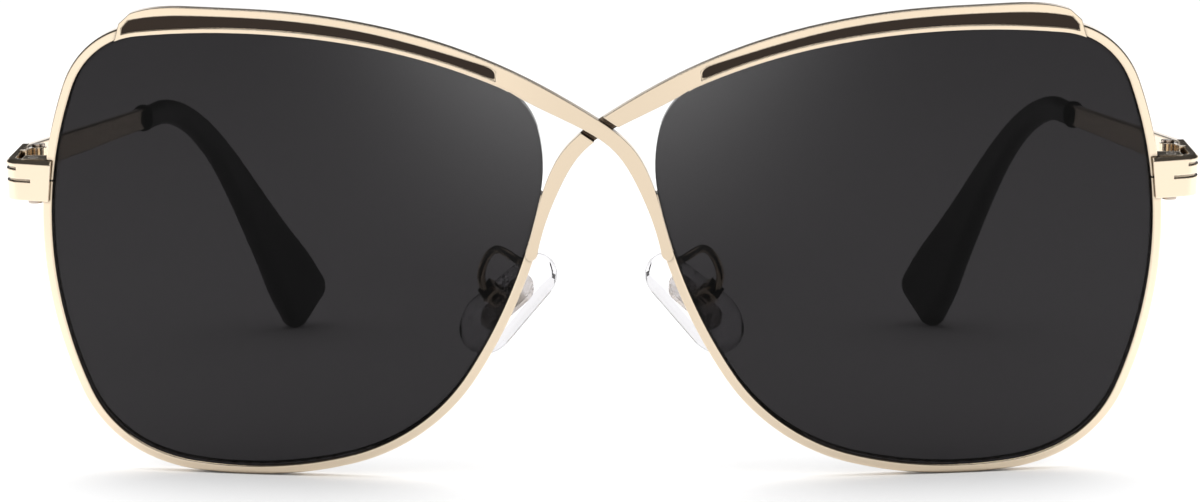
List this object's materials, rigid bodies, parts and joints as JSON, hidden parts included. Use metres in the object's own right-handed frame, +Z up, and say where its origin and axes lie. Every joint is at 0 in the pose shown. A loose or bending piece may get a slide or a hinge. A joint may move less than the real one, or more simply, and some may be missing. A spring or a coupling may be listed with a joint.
{
  "type": "sunglasses",
  "caption": "Butterfly sunglasses with large tinted lenses in a thin polished metal frame, two bars crossing at the bridge, black brow inlays, clear nose pads and folding temples.",
  "frame": {"origin": "middle of the standing footprint: centre of the bounding box in X and Y, at the surface that the rims and temple tips stand on", "axes": "+X to the right of the picture across the face, +Y from the front back along the temples, +Z up; the front leans back by its natural stance"},
  "size_m": [0.1472, 0.1524, 0.0585],
  "materials": {
    "frame_metal": "polished pale rose-gold plate",
    "lens": "smooth, dark grey tint",
    "inlay": "gloss black enamel",
    "tip": "smooth black plastic",
    "nose_pad": "clear, smooth",
    "pad_metal": "satin metal under clear plastic",
    "screw": "plated steel"
  },
  "bodies": {
    "front": {"lens_left": "lens", "lens_right": "lens", "rim_upper_left": "frame_metal", "rim_upper_right": "frame_metal", "rim_lower_left": "frame_metal", "rim_lower_right": "frame_metal", "brow_bar_left": "frame_metal", "brow_bar_right": "frame_metal", "brow_inlay_left": "inlay", "brow_inlay_right": "inlay", "end_piece_left": "frame_metal", "end_piece_right": "frame_metal", "lock_block_upper_left": "frame_metal", "lock_block_upper_right": "frame_metal", "lock_block_lower_left": "frame_metal", "lock_block_lower_right": "frame_metal", "lock_screw_left": "screw", "lock_screw_right": "screw", "hinge_front_left": "frame_metal", "hinge_front_right": "frame_metal", "hinge_screw_left": "screw", "hinge_screw_right": "screw", "pad_arm_left": "frame_metal", "pad_arm_right": "frame_metal", "pad_box_left": "frame_metal", "pad_box_right": "frame_metal", "pad_screw_left": "screw", "pad_screw_right": "screw"},
    "temple_left": {"hinge_temple_left": "frame_metal", "temple_left": "frame_metal", "tip_left": "tip"},
    "temple_right": {"hinge_temple_right": "frame_metal", "temple_right": "frame_metal", "tip_right": "tip"},
    "pad_left": {"nose_pad_left": "nose_pad", "pad_core_left": "pad_metal"},
    "pad_right": {"nose_pad_right": "nose_pad", "pad_core_right": "pad_metal"}
  },
  "joints": [
    {"name": "temple_fold_left", "type": "hinge", "parent": "front", "child": "temple_left", "pos_m": [-0.0712, -0.05606, 0.03899], "axis": [0, 0.0316, -0.9995], "range_deg": [0, 82]},
    {"name": "temple_fold_right", "type": "hinge", "parent": "front", "child": "temple_right", "pos_m": [0.0712, -0.05606, 0.03899], "axis": [0, -0.0316, 0.9995], "range_deg": [0, 76]},
    {"name": "pad_rock_left", "type": "hinge", "parent": "front", "child": "pad_left", "pos_m": [-0.01324, -0.06291, 0.02256], "axis": [-0.4255, 0.7288, 0.5365], "range_deg": [-10, 10]},
    {"name": "pad_rock_right", "type": "hinge", "parent": "front", "child": "pad_right", "pos_m": [0.01324, -0.06291, 0.02256], "axis": [0.4255, 0.7288, 0.5365], "range_deg": [-10, 10]}
  ]
}
